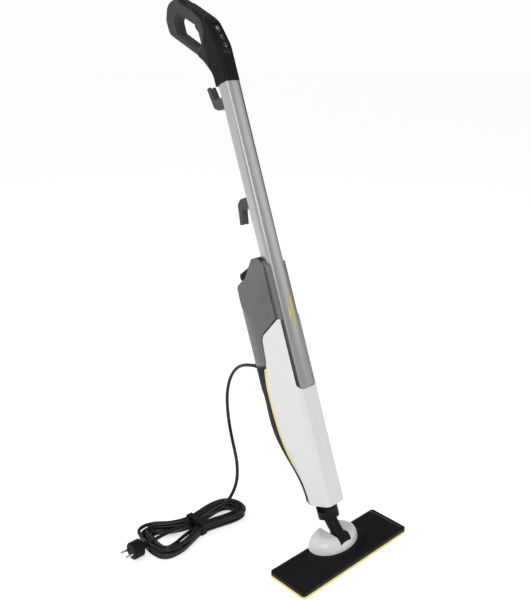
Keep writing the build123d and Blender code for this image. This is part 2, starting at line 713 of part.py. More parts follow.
def pump():
    t = BOILER_T
    body = rod((0, t, PUMP_S), (0, t, PUMP_S + PUMP_L - 16), PUMP_D / 2 - 3)
    body += box(-15, 15, t - 14, t + 13.8, PUMP_S + 8, PUMP_S + 30)
    body += rod((0, t, PUMP_S - 7), (0, t, PUMP_S + 2), 3)
    body += rod((0, TANK_T, PUMP_S + 30), (0, TANK_T, PUMP_S + 40), 3)
    return body


def feed_hose():
    return ring((0, TANK_T, PUMP_S + PUMP_L - 15.5), (0, TANK_T, TANK_S0 - 27), 5.2, 3.3)


def pressure_hose():
    return ring((0, BOILER_T, BOILER_S + BOILER[2] + 1), (0, BOILER_T, PUMP_S - 0.5), 4.6, 3.15)


def steam_hose():
    """From the boiler down into the collar."""
    top = (0, BOILER_T - 6, BOILER_S - 1)
    return hose([top, (0, BOILER_T - 6, 165), (0, ROLL_T, 128), (0, ROLL_T, 84)], 16, 4.8, 3.15)


def control_board():
    board = box(-22, 22, 34.4, 34.4 + PCB_T, 190, 282)
    for x, s, w, h in ((-8, 200, 12, 16), (8, 215, 10, 10), (-6, 240, 16, 20), (10, 262, 10, 12)):
        board += box(x - w / 2, x + w / 2, 34.4 - 8, 34.5, s - h / 2, s + h / 2)
    return board


def board_carrier():
    """Ribbed plate between the spine's foot and the board."""
    plate = box(-25, 25, 30.6, 33.2, 186, SPINE_S0 - 0.5)
    plate -= box(-16, 16, 20, 40, 191.2, 272)
    for side in (-1, 1):
        for s in (196, 277):
            plate += rod((side * 19, 33, s), (side * 19, 34.3, s), 2)
        for s in (188.8, 277):
            plate += rod((side * 15.5, 31, s), (side * 15.5, BODY_FRONT + SHELL_WALL + 0.6, s), 2.2)
    return plate


# ---------------------------------------------------------------- handle
def handle_side():
    return outline([
        (BODY_FRONT + 0.4, HAND_S0), (BODY_FRONT + 0.4, 1021), (3, 1077), (84, 1158), (122, 1158),
        (139, 1130), (138, 1099), (46, 1009), (27.5, 975), (27.5, HAND_S0),
    ], [0, 70, 60, 28, 24, 22, 20, 60, 40, 0])


def opening_side(grow):
    g = grow
    return outline([
        (41 - g, 1077 + 0.5 * g), (90, 1123 + 1.4 * g), (107 + g, 1116 + g), (107 + g, 1090 - 0.5 * g),
        (56, 1039 - 1.4 * g), (41 - g, 1042 - g),
    ], [14 + g, 8 + g, 6 + g, 7 + g, 6 + g, 5 + g])


def grip_side(grow):
    g = grow
    return outline([
        (98, 1175), (79 - 0.7 * g, 1141 + 0.7 * g), (38 - 0.7 * g, 1104 + 0.7 * g), (20 - g, 1083), (20 - g, 1058),
        (29 - 0.7 * g, 1045 - 0.7 * g), (48, 1033 - g), (66, 1027 - g), (90, 1010), (175, 1090), (165, 1175),
    ], [0, 14, 30, 14, 12, 10, 12, 6, 0, 0, 0])


def handle_body():
    """Whole loop with softened edges and its finger opening."""
    wide = side_prism(handle_side(), -HAND_HALF, HAND_HALF)
    wide = fillet(wide.edges().filter_by(lambda e: e.center().Z > HAND_S0 + 1 and abs(e.center().X) > 10), 7)
    slim = side_prism(handle_side(), -LOOP_HALF, LOOP_HALF)
    slim = fillet(slim.edges().filter_by(lambda e: e.center().Z > HAND_S0 + 1 and abs(e.center().X) > 10), 6)
    taper = outline([(-HAND_HALF - 1, -40), (HAND_HALF + 1, -40), (HAND_HALF + 1, 24), (LOOP_HALF - 1.5, 62),
                     (-LOOP_HALF + 1.5, 62), (-HAND_HALF - 1, 24)], [0, 0, 25, 0, 0, 25])
    solid = slim + (wide & plan_prism(taper, HAND_S0 - 5, 1300))
    solid -= side_prism(opening_side(0), -60, 60)
    return solid


def handle_cuts(solid):
    """Everything the black shells leave free: tube, pockets, switch bay, keypad, buttons."""
    solid -= plan_prism(tube_face(0.1), 900, TUBE_S1 + 0.5)
    solid -= box(-12.5, 12.5, -8.5, 20, TUBE_S1 - 2, 1052)
    solid -= box(-7.2, 7.2, -4, 24, 1050, 1078)
    solid -= keypad_block(0.25, 3)
    for place in button_places():
        solid -= place * Cylinder(BUTTON_D / 2 - 2.2, 16)
    return solid


def handle_half(side):
    solid = handle_body() - side_prism(grip_side(0.15), -60, 60)
    solid = handle_cuts(solid)
    keep = box(0.05, 60, -100, 300, 900, 1300) if side > 0 else box(-60, -0.05, -100, 300, 900, 1300)
    solid &= keep
    for x, t, s in HAND_SCREWS:
        solid -= rod((-60, t, s), (60, t, s), SCREW_D / 2 + 0.1)
        if side < 0:
            solid -= rod((-60, t, s), (-HAND_HALF + 4, t, s), SCREW_HEAD_D / 2 + 0.3)
    return biggest(solid)


HAND_SCREWS = [(0, 20.8, 995), (0, 33.5, 1018), (0, 14.6, 1082)]


def biggest(part):
    return max(part.solids(), key=lambda s: s.volume)


def handle_screws():
    screws = []
    for x, t, s in HAND_SCREWS:
        head = rod((-HAND_HALF + 1.6, t, s), (-HAND_HALF + 3.9, t, s), SCREW_HEAD_D / 2)
        screws.append(head + rod((-HAND_HALF + 3.5, t, s), (9.5, t, s), SCREW_D / 2))
    return screws


def grip_loop():
    """Soft grey rear part of the loop, all round the finger opening."""
    solid = handle_body() & side_prism(grip_side(-0.1), -60, 60)
    rim = side_prism(opening_side(3.2), -60, 60) - side_prism(opening_side(0), -60, 60)
    solid -= rim & (box(-60, -LOOP_HALF + 1.6, 0, 200, 1000, 1200) + box(LOOP_HALF - 1.6, 60, 0, 200, 1000, 1200))
    solid -= side_prism(trigger_pocket(), -TRIG_HALF - 0.7, TRIG_HALF + 0.7)
    solid -= rod((-11, TRIG_PIN_T, TRIG_PIN_S), (11, TRIG_PIN_T, TRIG_PIN_S), PIN_D / 2 + 0.05)
    solid -= box(-7.2, 7.2, -4, 24, 1050, 1078)
    return solid


def trigger_pocket():
    return outline([(21.5, 1052), (60, 1052), (60, 1079), (62, 1098), (52, 1104), (30, 1098), (21.5, 1086)],
                   [1, 0, 0, 2, 4, 6, 6])


def trigger():
    """Finger trigger, hung on a pin at its top."""
    profile = outline([(TRIG_PIN_T - 5, TRIG_PIN_S - 2), (TRIG_PIN_T - 4, TRIG_PIN_S + 4.5),
                       (TRIG_PIN_T + 6, TRIG_PIN_S + 4.5), (52, 1092.5), (56, 1083), (49, 1068), (40, 1055.5),
                       (30, 1055.5)], [3, 3, 3, 3, 5, 12, 2, 2])
    body = side_prism(profile, -TRIG_HALF, TRIG_HALF)
    body -= rod((-20, TRIG_PIN_T, TRIG_PIN_S), (20, TRIG_PIN_T, TRIG_PIN_S), PIN_D / 2 + 0.12)
    for side in (-1, 1):
        body -= rod((side * 3, TRIG_PIN_T, TRIG_PIN_S), (side * 8, TRIG_PIN_T, TRIG_PIN_S), 4.2)
    return body


def trigger_pin():
    return rod((-10.5, TRIG_PIN_T, TRIG_PIN_S), (10.5, TRIG_PIN_T, TRIG_PIN_S), PIN_D / 2)


def trigger_spring():
    coils = []
    for i in range(4):
        ring_coil = Pos(3.9 + i * 0.82, TRIG_PIN_T, TRIG_PIN_S) * (Rot(0, 90, 0) * Torus(2.9, 0.45))
        coils.append(ring_coil)
    coil = coils[0]
    for extra in coils[1:]:
        coil += extra
    return coil


def micro_switch():
    body = box(-6, 6, 12, 20.5, 1056, 1074)
    body += rod((0, 20, 1066), (0, 22.4, 1066), 1.6)
    body += box(-6.9, 6.9, 14, 18, 1058, 1061)
    return body


def handle_board():
    board = box(-12, 12, -0.4, 1.2, 992, 1048)
    board += box(-8, 8, 0.5, 6, 1000, 1012)
    board += box(-5, 5, 0.5, 18, 1041.5, 1046)
    return board


KEYPAD_LINE = [(-11.2, 1004), (-11.2, 1021), (-0.3, 1056), (4.2, 1066.5)]


def front_point(s):
    """The handle's front line and its slope at height s: (behind axle, degrees)."""
    if s < 1010:
        return BODY_FRONT + 0.4, 0.0
    rise = math.radians(17.3)
    start = 1010.5
    reach = (s - start) / 70.0
    tilt = min(math.asin(min(max(reach, 0), 0.99)), 2 * rise / 1.9)
    return BODY_FRONT + 0.4 + 70.0 * (1 - math.cos(tilt)) + max(0, s - start - 70 * math.sin(tilt)) * math.tan(
        tilt), math.degrees(tilt)


def keypad_block(grow, proud):
    """Strip just under the handle's front line, pushed out by proud."""
    lower, upper = 1003 - grow, 1068 + grow
    outer = []
    inner = []
    for i in range(7):
        s = lower + (upper - lower) * i / 6
        t, tilt = front_point(s)
        outer.append((t - proud + 0.5, s))
        inner.append((t + 3.0 + grow, s))
    face = make_face([Spline(*outer), Line(outer[-1], inner[-1]), Spline(*inner), Line(inner[0], outer[0])])
    half = 10.5 + grow
    return side_prism(face, -half, half)


def button_places():
    places = []
    for s in (1020, 1037, 1055):
        t, tilt = front_point(s)
        places.append(Pos(0, t, s) * Rot(90 - tilt, 0, 0))
    return places


def keypad_bezel():
    bezel = keypad_block(0, 0) 
    for place in button_places():
        bezel -= place * Cylinder(BUTTON_D / 2 + CLR, 30)
    return bezel


def button(index):
    """Round key that slides into the bezel; a thin stem reaches the board's side."""
    place = button_places()[index]
    cap = Pos(0, 0, -0.6) * Cylinder(BUTTON_D / 2, 2.6)
    stem = Pos(0, 0, -4.0) * Cylinder(BUTTON_D / 2 - 2.6, 5.2)
    return place * (cap + stem)


# ---------------------------------------------------------------- cord
def guard_axis():
    tilt = math.radians(CORD_PITCH)
    along = Vector(0, math.cos(tilt), math.sin(tilt))
    return Vector(0, BODY_R - 3.5, CORD_EXIT_S), along


def cord_guard():
    """Tapered bend guard with slots, clamped in the rear cover."""
    start, along = guard_axis()
    place = Plane(origin=start - along * 4, z_dir=along)
    body = place * Cylinder(CORD_D / 2 + 2.4, 8, align=(Align.CENTER, Align.CENTER, Align.MIN))
    cone = Cone(CORD_D / 2 + 2.4, CORD_D / 2 + 1.0, GUARD_L, align=(Align.CENTER, Align.CENTER, Align.MIN))
    body += Plane(origin=start + along * 3.5, z_dir=along) * cone
    flange = Plane(origin=start - along * 4, z_dir=along) * Cylinder(
        CORD_D / 2 + 4.5, 2, align=(Align.CENTER, Align.CENTER, Align.MIN))
    body += flange
    for i in range(5):
        spot = Plane(origin=start + along * (9 + i * 5.2), z_dir=along)
        body -= spot * (Cylinder(9, 1.6) - Cylinder(CORD_D / 2 + 0.75, 1.6))
    bore = Plane(origin=start - along * 6, z_dir=along)
    return body - bore * Cylinder(CORD_D / 2 + 0.25, 70, align=(Align.CENTER, Align.CENTER, Align.MIN))


def bend_radii(points):
    radii = []
    for before, here, after in zip(points, points[1:], points[2:]):
        a = Vector(*here) - Vector(*before)
        b = Vector(*after) - Vector(*here)
        turn = math.acos(max(-1.0, min(1.0, a.normalized().dot(b.normalized()))))
        radii.append(0.45 * min(a.length, b.length) / math.tan(turn / 2))
    return radii


def cord_path():
    start, along = guard_axis()
    first = lean(Pos(*start) * Sphere(0.1)).center()
    points = [tuple(first)] + CORD_ROUTE
    radii = bend_radii(points)
    print("cord bends", [round(r) for r in radii])
    return FilletPolyline(*points, radius=radii)


def cord_tube():
    path = cord_path()
    tube_solid = sweep(Plane(origin=path @ 0, z_dir=path % 0) * Circle(CORD_D / 2), path)
    print("cord length", round(path.length), "volume share",
          round(tube_solid.volume / (path.length * math.pi * CORD_D ** 2 / 4), 3))
    return tube_solid


def cord_hank():
    """Outer form of the tied hank on the floor: two lobes and a waist."""
    face = make_face(Spline(
        (-46, 254), (-60, 296), (-110, 301), (-168, 290), (-214, 324), (-262, 338), (-284, 314), (-282, 264),
        (-300, 238), (-284, 216), (-234, 222), (-168, 241), (-104, 226), (-64, 224), periodic=True))
    block = Pos(0, 0, HANK_Z0) * extrude(face, HANK_H, dir=(0, 0, 1))
    return fillet(block.edges().filter_by(lambda e: abs(e.center().Z - HANK_Z0) < 0.5 or
                                          abs(e.center().Z - HANK_Z0 - HANK_H) < 0.5), HANK_R)


def cord_tie():
    """Band round the waist of the hank."""
    x, gap = -168, 0.5
    y0, y1 = 238.8, 292.4
    z0, z1 = HANK_Z0 - gap, HANK_Z0 + HANK_H + gap
    outer = box(x - TIE_W / 2, x + TIE_W / 2, y0 - TIE_T, y1 + TIE_T, z0 - TIE_T, z1 + TIE_T)
    outer = fillet(outer.edges().filter_by(Axis.X), HANK_R + TIE_T)
    hollow = fillet(box(x - 20, x + 20, y0, y1, z0, z1).edges().filter_by(Axis.X), HANK_R)
    return outer - hollow


def plug_axis():
    return Vector(-287, 277, PLUG_D / 2 + 0.4), Vector(-1, 0.0, 0)


def plug_body():
    """Round moulded plug with a slim grip."""
    start, along = plug_axis()
    place = Plane(origin=start, z_dir=along)
    low = (Align.CENTER, Align.CENTER, Align.MIN)
    grip = place * Cone(6, 9, 16, align=low)
    face = Plane(origin=start + along * 16, z_dir=along) * Cylinder(PLUG_D / 2, PLUG_L - 16, align=low)
    body = grip + fillet(face.edges().filter_by(GeomType.CIRCLE), 3)
    for side in (-1, 1):
        body -= Plane(origin=start + along * (PLUG_L - 8) + Vector(0, side * 9.5, 0), z_dir=along) * Cylinder(
            2.5, 20, align=low)
    return body


def plug_pins():
    start, along = plug_axis()
    pins = []
    for side in (-1, 1):
        base = start + along * (PLUG_L - 7.8) + Vector(0, side * 9.5, 0)
        foot = start + along * (PLUG_L + 0.6) + Vector(0, side * 9.5, 0)
        pin = fillet(rod(tuple(foot), tuple(foot + along * 18.4), 2.4).edges().filter_by(GeomType.CIRCLE)
                     .sort_by(Axis.X)[0], 1.0)
        pins.append(pin + rod(tuple(base), tuple(foot + along * 1), 2.0))
    return pins


# ---------------------------------------------------------------- export
def save(name, parts, leaned):
    group = parts if isinstance(parts, list) else [parts]
    solids = []
    for item in group:
        placed = lean(item) if leaned else item
        solids.extend(placed.solids())
    shape = solids[0] if len(solids) == 1 else Compound(children=solids)
    shape.label = name
    export_step(shape, f"parts/{name}.step")
    print(f"{name}: {len(solids)} solid(s), {sum(s.volume for s in solids) / 1000:.1f} cm3")


FLOOR_PIECES = {
    "base_plate": base_plate,
    "head_cover": head_cover,
    "saddle_cover": saddle_cover,
    "head_seal": head_seal,
    "steam_distributor": steam_distributor,
    "head_screws": head_screws,
    "pad_strips": pad_strips,
    "axle_bushes": axle_bushes,
    "head_axle": head_axle,
    "cord_tube": cord_tube,
    "cord_hank": cord_hank,
    "cord_tie": cord_tie,
    "plug_body": plug_body,
    "plug_pins": plug_pins,
}

UPRIGHT_PIECES = {
    "neck_knuckle": neck_knuckle,
    "swivel_pin": swivel_pin,
    "collar": collar,
    "front_shell": front_shell,
    "rear_cover": rear_cover,
    "trim_band": trim_band,
    "shell_screws": shell_screws,
    "spine": spine,
    "tube": tube,
    "badge": badge,
    "hook_pads": lambda: [hook_pad(HOOK_HIGH_S), hook_pad(HOOK_LOW_S)],
    "hook_upper": lambda: hook(HOOK_HIGH_S, True),
    "hook_lower": lambda: hook(HOOK_LOW_S, False),
    "hook_screws": hook_screws,
    "tank": tank,
    "tank_valve": tank_valve,
    "valve_seal": valve_seal,
    "tank_socket": tank_socket,
    "tank_latch": tank_latch,
    "latch_pin": latch_pin,
    "boiler": boiler,
    "thermostats": thermostats,
    "pump": pump,
    "feed_hose": feed_hose,
    "pressure_hose": pressure_hose,
    "steam_hose": steam_hose,
    "control_board": control_board,
    "board_carrier": board_carrier,
    "handle_left": lambda: handle_half(-1),
    "handle_right": lambda: handle_half(1),
    "handle_screws": handle_screws,
    "grip_loop": grip_loop,
    "keypad_bezel": keypad_bezel,
    "button_top": lambda: button(2),
    "button_middle": lambda: button(1),
    "button_low": lambda: button(0),
    "trigger": trigger,
    "trigger_pin": trigger_pin,
    "trigger_spring": trigger_spring,
    "micro_switch": micro_switch,
    "handle_board": handle_board,
    "cord_guard": cord_guard,
}


def main():
    os.makedirs("parts", exist_ok=True)
    for name, make in FLOOR_PIECES.items():
        save(name, make(), False)
    for name, make in UPRIGHT_PIECES.items():
        save(name, make(), True)


main()
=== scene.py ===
import math
import bpy
import bmesh
from mathutils import Matrix, Vector
from mathutils.bvhtree import BVHTree


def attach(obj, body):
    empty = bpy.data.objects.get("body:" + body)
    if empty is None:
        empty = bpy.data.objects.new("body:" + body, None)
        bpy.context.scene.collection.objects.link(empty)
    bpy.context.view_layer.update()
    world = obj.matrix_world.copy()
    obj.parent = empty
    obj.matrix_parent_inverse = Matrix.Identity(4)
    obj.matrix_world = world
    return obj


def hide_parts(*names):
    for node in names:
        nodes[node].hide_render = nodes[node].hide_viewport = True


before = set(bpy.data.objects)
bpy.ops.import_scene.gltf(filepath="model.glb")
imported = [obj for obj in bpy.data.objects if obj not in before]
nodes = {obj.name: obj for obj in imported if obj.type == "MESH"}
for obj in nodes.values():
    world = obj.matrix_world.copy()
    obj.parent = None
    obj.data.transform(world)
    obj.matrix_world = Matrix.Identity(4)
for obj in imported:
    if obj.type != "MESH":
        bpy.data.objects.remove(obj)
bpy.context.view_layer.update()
print("frame loaded", len(nodes), "nodes")

# camera and studio

camera = {
    "place": (-1.00373, -0.85585, 0.98132),
    "right": (0.7338, -0.6794, 0.0),
    "up": (0.2125, 0.2295, 0.9499),
    "lens": 45.14,
}

studio = {
    "floorSize": 60.0,
    "floorColour": (0.86, 0.86, 0.86, 1.0),
    "floorGlow": 0.52,       # keeps the far floor as pale as the near one
    "backdrop": 0.985,
    "skyBright": 0.80,       # what mirrors see towards the left and the front
    "skyDark": 0.10,         # and towards the far right
    "keyPower": 26.0,
    "fillPower": 6.0,
    "rimPower": 12.0,
}


def makeCamera():
    right = Vector(camera["right"]).normalized()
    up = Vector(camera["up"]).normalized()
    back = right.cross(up)
    data = bpy.data.cameras.new("studioCamera")
    data.lens = camera["lens"]
    data.sensor_width = 36.0
    obj = bpy.data.objects.new("studioCamera", data)
    turn = Matrix((right, up, back)).transposed().to_4x4()
    obj.matrix_world = Matrix.Translation(camera["place"]) @ turn
    bpy.context.scene.collection.objects.link(obj)
    bpy.context.scene.camera = obj


def addArea(name, place, target, size, power):
    data = bpy.data.lights.new(name, "AREA")
    data.shape = "RECTANGLE"
    data.size, data.size_y = size
    data.energy = power
    obj = bpy.data.objects.new(name, data)
    aim = Vector(target) - Vector(place)
    obj.matrix_world = Matrix.Translation(place) @ aim.to_track_quat("-Z", "Y").to_matrix().to_4x4()
    obj.visible_camera = False
    bpy.context.scene.collection.objects.link(obj)


def makeStudio():
    addArea("keyLight", (-1.6, -1.5, 2.3), (0, 0.25, 0.5), (1.6, 1.6), studio["keyPower"])
    addArea("fillLight", (1.9, -1.4, 1.5), (0, 0.25, 0.5), (1.2, 1.8), studio["fillPower"])
    addArea("rimLight", (-1.2, 2.2, 1.9), (0, 0.3, 0.6), (1.4, 1.4), studio["rimPower"])
    world = bpy.data.worlds.new("studioSky")
    bpy.context.scene.world = world
    world.use_nodes = True
    tree = world.node_tree
    tree.nodes.clear()
    out = tree.nodes.new("ShaderNodeOutputWorld")
    mix = tree.nodes.new("ShaderNodeMixShader")
    plain = tree.nodes.new("ShaderNodeBackground")
    plain.inputs["Color"].default_value = (1, 1, 1, 1)
    plain.inputs["Strength"].default_value = studio["backdrop"]
    soft = tree.nodes.new("ShaderNodeBackground")
    path = tree.nodes.new("ShaderNodeLightPath")
    coord = tree.nodes.new("ShaderNodeTexCoord")
    split = tree.nodes.new("ShaderNodeSeparateXYZ")
    ramp = tree.nodes.new("ShaderNodeMapRange")
    ramp.inputs["From Min"].default_value = 0.15
    ramp.inputs["From Max"].default_value = 0.95
    ramp.inputs["To Min"].default_value = studio["skyBright"]
    ramp.inputs["To Max"].default_value = studio["skyDark"]
    link = tree.links.new
    link(coord.outputs["Generated"], split.inputs[0])
    link(split.outputs["X"], ramp.inputs["Value"])
    link(ramp.outputs["Result"], soft.inputs["Strength"])
    link(path.outputs["Is Camera Ray"], mix.inputs[0])
    link(soft.outputs[0], mix.inputs[1])
    link(plain.outputs[0], mix.inputs[2])
    link(mix.outputs[0], out.inputs[0])


makeCamera()
makeStudio()
bpy.context.scene.view_settings.view_transform = "Standard"
print("camera and studio ready")

# the frame that the upright part stands in

lean = {"degrees": 20.5, "axle": 0.035}


def upright(x, t, s):  # millimetres across, behind the axle and along the tube
    a = math.radians(lean["degrees"])
    return Vector((x, t * math.cos(a) + s * math.sin(a), -t * math.sin(a) + s * math.cos(a))) / 1000 + Vector(
        (0, 0, lean["axle"]))


def uprightMatrix():
    a = math.radians(lean["degrees"])
    return Matrix.Translation((0, 0, lean["axle"])) @ Matrix.Rotation(-a, 4, "X")


# shader groups

def newGroup(name, inputs, outputs):
    group = bpy.data.node_groups.new(name, "ShaderNodeTree")
    for label, kind, value in inputs:
        socket = group.interface.new_socket(label, in_out="INPUT", socket_type=kind)
        socket.default_value = value
    for label, kind in outputs:
        group.interface.new_socket(label, in_out="OUTPUT", socket_type=kind)
    return group, group.nodes.new("NodeGroupInput"), group.nodes.new("NodeGroupOutput")


def grainGroup():  # moulded texture: a fine grain over slow waviness
    group, given, result = newGroup("mouldGrain", [
        ("Size", "NodeSocketFloat", 900.0), ("Depth", "NodeSocketFloat", 0.15),
        ("Wave", "NodeSocketFloat", 0.03),
    ], [("Normal", "NodeSocketVector"), ("Mask", "NodeSocketFloat")])
    coord = group.nodes.new("ShaderNodeTexCoord")
    fine = group.nodes.new("ShaderNodeTexNoise")
    fine.inputs["Detail"].default_value = 2.0
    slow = group.nodes.new("ShaderNodeTexNoise")
    slow.inputs["Scale"].default_value = 22.0
    bumpFine = group.nodes.new("ShaderNodeBump")
    bumpFine.inputs["Distance"].default_value = 0.00025
    bumpSlow = group.nodes.new("ShaderNodeBump")
    bumpSlow.inputs["Distance"].default_value = 0.004
    link = group.links.new
    link(coord.outputs["Object"], fine.inputs["Vector"])
    link(coord.outputs["Object"], slow.inputs["Vector"])
    link(given.outputs["Size"], fine.inputs["Scale"])
    link(fine.outputs[0], bumpFine.inputs["Height"])
    link(given.outputs["Depth"], bumpFine.inputs["Strength"])
    link(slow.outputs[0], bumpSlow.inputs["Height"])
    link(given.outputs["Wave"], bumpSlow.inputs["Strength"])
    link(bumpSlow.outputs["Normal"], bumpFine.inputs["Normal"])
    link(bumpFine.outputs["Normal"], result.inputs["Normal"])
    link(fine.outputs[0], result.inputs["Mask"])
    return group


def handlingGroup():  # roughness that changes a little where hands and cloths have been
    group, given, result = newGroup("handling", [
        ("Base", "NodeSocketFloat", 0.4), ("Spread", "NodeSocketFloat", 0.08),
        ("Size", "NodeSocketFloat", 30.0),
    ], [("Roughness", "NodeSocketFloat")])
    coord = group.nodes.new("ShaderNodeTexCoord")
    cloud = group.nodes.new("ShaderNodeTexNoise")
    cloud.inputs["Detail"].default_value = 4.0
    cloud.inputs["Roughness"].default_value = 0.6
    centre = group.nodes.new("ShaderNodeMath")
    centre.operation = "SUBTRACT"
    centre.inputs[1].default_value = 0.5
    grow = group.nodes.new("ShaderNodeMath")
    grow.operation = "MULTIPLY_ADD"
    link = group.links.new
    link(coord.outputs["Object"], cloud.inputs["Vector"])
    link(given.outputs["Size"], cloud.inputs["Scale"])
    link(cloud.outputs[0], centre.inputs[0])
    link(centre.outputs[0], grow.inputs[0])
    link(given.outputs["Spread"], grow.inputs[1])
    link(given.outputs["Base"], grow.inputs[2])
    link(grow.outputs[0], result.inputs["Roughness"])
    return group


def shadeGroup():  # slight mottling of a colour, as in dyed plastic or cast metal
    group, given, result = newGroup("shadeDrift", [
        ("Colour", "NodeSocketColor", (0.5, 0.5, 0.5, 1)), ("Drift", "NodeSocketFloat", 0.06),
        ("Size", "NodeSocketFloat", 14.0),
    ], [("Colour", "NodeSocketColor")])
    coord = group.nodes.new("ShaderNodeTexCoord")
    cloud = group.nodes.new("ShaderNodeTexNoise")
    cloud.inputs["Detail"].default_value = 3.0
    spread = group.nodes.new("ShaderNodeMapRange")
    spread.inputs["From Min"].default_value = 0.3
    spread.inputs["From Max"].default_value = 0.7
    one = group.nodes.new("ShaderNodeMath")
    one.operation = "SUBTRACT"
    one.inputs[0].default_value = 1.0
    scale = group.nodes.new("ShaderNodeVectorMath")
    scale.operation = "SCALE"
    link = group.links.new
    link(coord.outputs["Object"], cloud.inputs["Vector"])
    link(given.outputs["Size"], cloud.inputs["Scale"])
    link(cloud.outputs[0], spread.inputs["Value"])
    spread.inputs["To Min"].default_value = 0.0
    link(given.outputs["Drift"], spread.inputs["To Max"])
    link(spread.outputs["Result"], one.inputs[1])
    link(given.outputs["Colour"], scale.inputs[0])
    link(one.outputs[0], scale.inputs["Scale"])
    link(scale.outputs[0], result.inputs["Colour"])
    return group


groups = {"grain": grainGroup(), "handling": handlingGroup(), "shade": shadeGroup()}


def placeGroup(tree, key, **values):
    node = tree.nodes.new("ShaderNodeGroup")
    node.node_tree = groups[key]
    for label, value in values.items():
        node.inputs[label].default_value = value
    return node


finishes = {  # colour, roughness, its spread, grain size and depth, then plain shader values
    "whiteShell": dict(colour=(0.70, 0.705, 0.705), rough=0.26, spread=0.07, grain=700, depth=0.04,
                       wave=0.012, drift=0.02, coat=0.35),
    "blackCover": dict(colour=(0.011, 0.011, 0.012), rough=0.40, spread=0.12, grain=1100, depth=0.35,
                       wave=0.02, drift=0.25, shine=0.09),
    "headCover": dict(colour=(0.010, 0.010, 0.011), rough=0.34, spread=0.14, grain=1400, depth=0.30,
                      wave=0.03, drift=0.3, shine=0.09),
    "handleShell": dict(colour=(0.009, 0.009, 0.010), rough=0.36, spread=0.10, grain=1200, depth=0.25,
                        wave=0.02, drift=0.2, shine=0.09),
    "softGrip": dict(colour=(0.042, 0.043, 0.045), rough=0.52, spread=0.10, grain=1500, depth=0.30, wave=0.02,
                     drift=0.12, shine=0.15),
    "hookPlastic": dict(colour=(0.055, 0.055, 0.058), rough=0.42, spread=0.10, grain=1300, depth=0.3,
                        wave=0.02, drift=0.15, shine=0.3),
    "spineGrey": dict(colour=(0.150, 0.153, 0.158), rough=0.38, spread=0.08, grain=1200, depth=0.2,
                      wave=0.015, drift=0.08),
    "paleYellow": dict(colour=(0.78, 0.68, 0.24), rough=0.38, spread=0.08, grain=900, depth=0.15, wave=0.02,
                       drift=0.08),
    "accentYellow": dict(colour=(0.62, 0.55, 0.08), rough=0.34, spread=0.06, grain=1500, depth=0.1, wave=0.0,
                         drift=0.06),
    "blackRubber": dict(colour=(0.012, 0.012, 0.012), rough=0.55, spread=0.12, grain=1600, depth=0.4,
                        wave=0.05, drift=0.3, shine=0.09),
    "cordSheath": dict(colour=(0.006, 0.006, 0.006), rough=0.24, spread=0.10, grain=900, depth=0.12,
                       wave=0.05, drift=0.25, shine=0.35),
    "tieRubber": dict(colour=(0.016, 0.016, 0.017), rough=0.50, spread=0.10, grain=1500, depth=0.4, wave=0.03,
                      drift=0.25, shine=0.09),
    "glossBlack": dict(colour=(0.006, 0.006, 0.007), rough=0.24, spread=0.06, grain=800, depth=0.03,
                       wave=0.02, drift=0.1, coat=0.12, shine=0.2),
    "keyGrey": dict(colour=(0.040, 0.040, 0.043), rough=0.32, spread=0.08, grain=1400, depth=0.15, wave=0.0,
                    drift=0.1),
    "keyMark": dict(colour=(0.62, 0.63, 0.64), rough=0.35, spread=0.08, grain=1500, depth=0.1, wave=0.0,
                    drift=0.1),
    "innerGrey": dict(colour=(0.28, 0.29, 0.30), rough=0.45, spread=0.10, grain=1000, depth=0.25, wave=0.02,
                      drift=0.1),
    "hookPile": dict(colour=(0.030, 0.030, 0.032), rough=0.85, spread=0.08, grain=1300, depth=1.0, wave=0.2,
                     drift=0.5),
    "boardGreen": dict(colour=(0.02, 0.12, 0.05), rough=0.38, spread=0.1, grain=600, depth=0.3, wave=0.02,
                       drift=0.3),
    "siliconeHose": dict(colour=(0.50, 0.50, 0.46), rough=0.4, spread=0.08, grain=700, depth=0.1, wave=0.04,
                         drift=0.08),
    "platedSteel": dict(colour=(0.60, 0.60, 0.62), rough=0.28, spread=0.14, grain=1600, depth=0.25, wave=0.02,
                        drift=0.12, metal=1.0),
    "darkScrew": dict(colour=(0.012, 0.012, 0.013), rough=0.42, spread=0.1, grain=1500, depth=0.2, wave=0.0,
                      drift=0.2, shine=0.3),
    "platedPin": dict(colour=(0.72, 0.70, 0.64), rough=0.16, spread=0.08, grain=1600, depth=0.1, wave=0.02,
                      drift=0.08, metal=1.0),
    "castMetal": dict(colour=(0.45, 0.45, 0.46), rough=0.5, spread=0.16, grain=500, depth=0.6, wave=0.1,
                      drift=0.2, metal=1.0),
}


def plainFinish(name):
    want = finishes[name]
    material = bpy.data.materials.new(name)
    material.use_nodes = True
    tree = material.node_tree
    shader = tree.nodes["Principled BSDF"]
    grain = placeGroup(tree, "grain", Size=want["grain"], Depth=want["depth"], Wave=want["wave"])
    rough = placeGroup(tree, "handling", Base=want["rough"], Spread=want["spread"])
    shade = placeGroup(tree, "shade", Colour=(*want["colour"], 1), Drift=want["drift"])
    tree.links.new(grain.outputs["Normal"], shader.inputs["Normal"])
    tree.links.new(rough.outputs["Roughness"], shader.inputs["Roughness"])
    tree.links.new(shade.outputs["Colour"], shader.inputs["Base Color"])
    shader.inputs["Metallic"].default_value = want.get("metal", 0.0)
    shader.inputs["Coat Weight"].default_value = want.get("coat", 0.0)
    shader.inputs["Coat Roughness"].default_value = 0.12
    shader.inputs["Specular IOR Level"].default_value = want.get("shine", 0.5)
    return material


tubeFinish = {"colour": (0.50, 0.50, 0.51), "rough": 0.30, "brushAcross": 1500.0, "brushAlong": 7.0}


